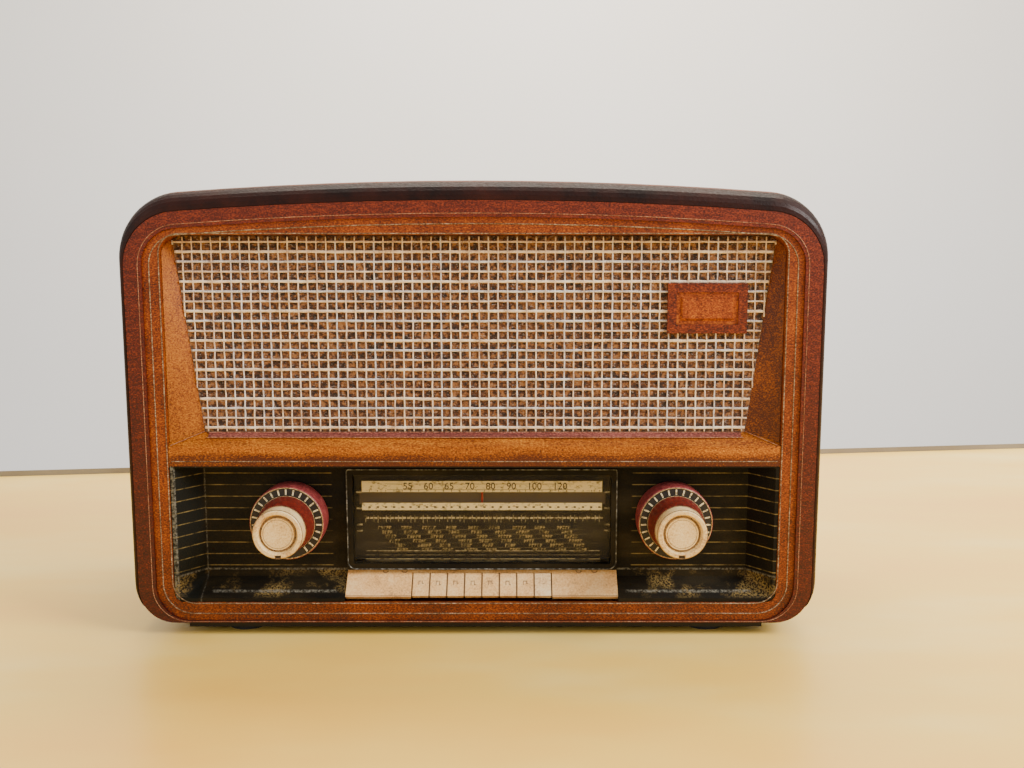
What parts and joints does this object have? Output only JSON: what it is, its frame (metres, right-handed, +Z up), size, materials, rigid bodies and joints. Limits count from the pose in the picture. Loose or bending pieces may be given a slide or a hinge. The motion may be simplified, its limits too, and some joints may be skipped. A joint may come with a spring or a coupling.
{
  "type": "tabletop radio",
  "caption": "Wide wooden valve table radio with a rounded gloss cabinet, woven grille, glass dial, piano keys and dual knobs.",
  "frame": {"origin": "on the table under the middle of the radio's overall box, knobs included", "axes": "+X to the right of someone facing the dial, +Y from the front to the back, +Z up"},
  "size_m": [0.428, 0.21, 0.281],
  "materials": {
    "black_lacquer": "high-gloss black piano lacquer",
    "mahogany": "red-brown mahogany, satin lacquer",
    "honey_wood": "honey-brown walnut, satin lacquer",
    "maroon_inlay": "maroon enamel",
    "plywood": "bare birch plywood",
    "grille_cloth": "woven cream and brown strands",
    "maroon_plastic": "moulded maroon, satin",
    "ochre_plate": "plain ochre enamel",
    "plinth_wood": "dark stained beech",
    "rubber": "matt black",
    "hardboard": "pressed brown hardboard",
    "softwood": "bare spruce",
    "steel": "zinc plated",
    "olive_plastic": "dark olive enamel with gold lines",
    "dial_glass": "clear glass",
    "scale_print": "dark scale printed in cream and gold",
    "cream_plastic": "ivory, aged",
    "white_plastic": "white",
    "red_plastic": "deep red",
    "black_scale": "black with cream ticks",
    "aluminium": "mill finish",
    "brass": "bare brass",
    "cord": "waxed linen cord",
    "pointer_red": "red enamel",
    "core_iron": "varnished laminations",
    "valve_glass": "clear glass with grey getter",
    "bakelite": "brown bakelite",
    "basket_paint": "grey-blue hammer paint",
    "cone_paper": "pressed dark paper"
  },
  "bodies": {
    "cabinet": {"cabinet_shell": "black_lacquer", "front_ring": "mahogany", "front_moulding": "honey_wood", "ledge_rail": "honey_wood", "ledge_strip": "maroon_inlay", "grille_wings": "honey_wood", "grille_cloth": "grille_cloth", "badge_frame": "maroon_plastic", "badge_plate": "ochre_plate", "baffle_board": "plywood", "plinth": "plinth_wood", "feet": "rubber", "back_cover": "hardboard", "corner_cleats": "softwood", "cover_screws": "steel", "control_panel": "olive_plastic", "dial_glass": "dial_glass", "dial_backplate": "scale_print", "key_fascia": "cream_plastic", "key_frame": "steel", "volume_pot": "aluminium", "treble_pot": "aluminium", "dial_cord": "cord", "gang_frame": "steel", "drive_plate": "steel", "dial_lamps": "brass", "chassis": "steel", "chassis_bolts": "steel", "rear_sockets": "bakelite", "mains_inlet": "bakelite", "transformers": "core_iron", "valves": "valve_glass", "chassis_cans": "aluminium", "speaker_basket": "basket_paint", "speaker_cone": "cone_paper", "speaker_magnet": "core_iron", "speaker_screws": "steel"},
    "volume_control": {"volume_knob": "red_plastic", "volume_cap": "cream_plastic", "volume_shaft": "steel"},
    "bass_control": {"bass_ring": "maroon_plastic", "bass_scale": "black_scale"},
    "treble_control": {"treble_ring": "maroon_plastic", "treble_scale": "black_scale"},
    "tuning_control": {"tuning_knob": "red_plastic", "tuning_cap": "cream_plastic", "tuning_spindle": "steel"},
    "tuning_capacitor": {"tuning_drum": "aluminium", "gang_rotor": "aluminium"},
    "pulley_left": {"idler_left": "brass"},
    "pulley_right": {"idler_right": "brass"},
    "pointer": {"dial_pointer": "pointer_red"},
    "piano_key_1": {"key_1": "cream_plastic"},
    "piano_key_2": {"key_2": "cream_plastic"},
    "piano_key_3": {"key_3": "cream_plastic"},
    "piano_key_4": {"key_4": "cream_plastic"},
    "piano_key_5": {"key_5": "cream_plastic"},
    "piano_key_6": {"key_6": "cream_plastic"},
    "piano_key_7": {"key_7": "cream_plastic"},
    "piano_key_8": {"key_8": "white_plastic"}
  },
  "joints": [
    {"name": "volume_turn", "type": "hinge", "parent": "cabinet", "child": "volume_control", "pos_m": [-0.116, -0.08, 0.072], "axis": [0, 1, 0], "range_deg": [0, 300]},
    {"name": "bass_turn", "type": "hinge", "parent": "cabinet", "child": "bass_control", "pos_m": [-0.116, -0.08, 0.072], "axis": [0, 1, 0], "range_deg": [-135, 135]},
    {"name": "treble_turn", "type": "hinge", "parent": "cabinet", "child": "treble_control", "pos_m": [0.124, -0.08, 0.072], "axis": [0, 1, 0], "range_deg": [-135, 135]},
    {"name": "capacitor_turn", "type": "hinge", "parent": "cabinet", "child": "tuning_capacitor", "pos_m": [0.004, -0.05, 0.088], "axis": [0, 1, 0], "range_deg": [-90, 90]},
    {"name": "tuning_turn", "type": "hinge", "parent": "cabinet", "child": "tuning_control", "pos_m": [0.124, -0.08, 0.072], "axis": [0, 1, 0], "range_deg": [-850, 850]},
    {"name": "pulley_left_turn", "type": "hinge", "parent": "cabinet", "child": "pulley_left", "pos_m": [-0.08, -0.05, 0.1285], "axis": [0, 1, 0], "range_deg": [-480, 480]},
    {"name": "pulley_right_turn", "type": "hinge", "parent": "cabinet", "child": "pulley_right", "pos_m": [0.088, -0.05, 0.1285], "axis": [0, 1, 0], "range_deg": [-480, 480]},
    {"name": "pointer_slide", "type": "slide", "parent": "cabinet", "child": "pointer", "axis": [1, 0, 0], "range_m": [-0.0655, 0.0655]},
    {"name": "key_1_press", "type": "hinge", "parent": "cabinet", "child": "piano_key_1", "pos_m": [-0.0345, -0.034, 0.041], "axis": [1, 0, 0], "range_deg": [0, 5], "stiffness_Nm_per_rad": 0.6, "springref_deg": -20.05},
    {"name": "key_2_press", "type": "hinge", "parent": "cabinet", "child": "piano_key_2", "pos_m": [-0.0235, -0.034, 0.041], "axis": [1, 0, 0], "range_deg": [0, 5], "stiffness_Nm_per_rad": 0.6, "springref_deg": -20.05},
    {"name": "key_3_press", "type": "hinge", "parent": "cabinet", "child": "piano_key_3", "pos_m": [-0.0125, -0.034, 0.041], "axis": [1, 0, 0], "range_deg": [0, 5], "stiffness_Nm_per_rad": 0.6, "springref_deg": -20.05},
    {"name": "key_4_press", "type": "hinge", "parent": "cabinet", "child": "piano_key_4", "pos_m": [-0.0015, -0.034, 0.041], "axis": [1, 0, 0], "range_deg": [0, 5], "stiffness_Nm_per_rad": 0.6, "springref_deg": -20.05},
    {"name": "key_5_press", "type": "hinge", "parent": "cabinet", "child": "piano_key_5", "pos_m": [0.0095, -0.034, 0.041], "axis": [1, 0, 0], "range_deg": [0, 5], "stiffness_Nm_per_rad": 0.6, "springref_deg": -20.05},
    {"name": "key_6_press", "type": "hinge", "parent": "cabinet", "child": "piano_key_6", "pos_m": [0.0205, -0.034, 0.041], "axis": [1, 0, 0], "range_deg": [0, 5], "stiffness_Nm_per_rad": 0.6, "springref_deg": -20.05},
    {"name": "key_7_press", "type": "hinge", "parent": "cabinet", "child": "piano_key_7", "pos_m": [0.0315, -0.034, 0.041], "axis": [1, 0, 0], "range_deg": [0, 5], "stiffness_Nm_per_rad": 0.6, "springref_deg": -20.05},
    {"name": "key_8_press", "type": "hinge", "parent": "cabinet", "child": "piano_key_8", "pos_m": [0.0425, -0.034, 0.041], "axis": [1, 0, 0], "range_deg": [0, 5], "stiffness_Nm_per_rad": 0.6, "springref_deg": -20.05}
  ],
  "couplings": [
    {"joint": "tuning_turn", "follows": "capacitor_turn", "ratio": 9.4091},
    {"joint": "pulley_left_turn", "follows": "capacitor_turn", "ratio": 5.3077},
    {"joint": "pulley_right_turn", "follows": "capacitor_turn", "ratio": 5.3077},
    {"joint": "pointer_slide", "follows": "capacitor_turn", "m_per_rad": 0.0414}
  ]
}
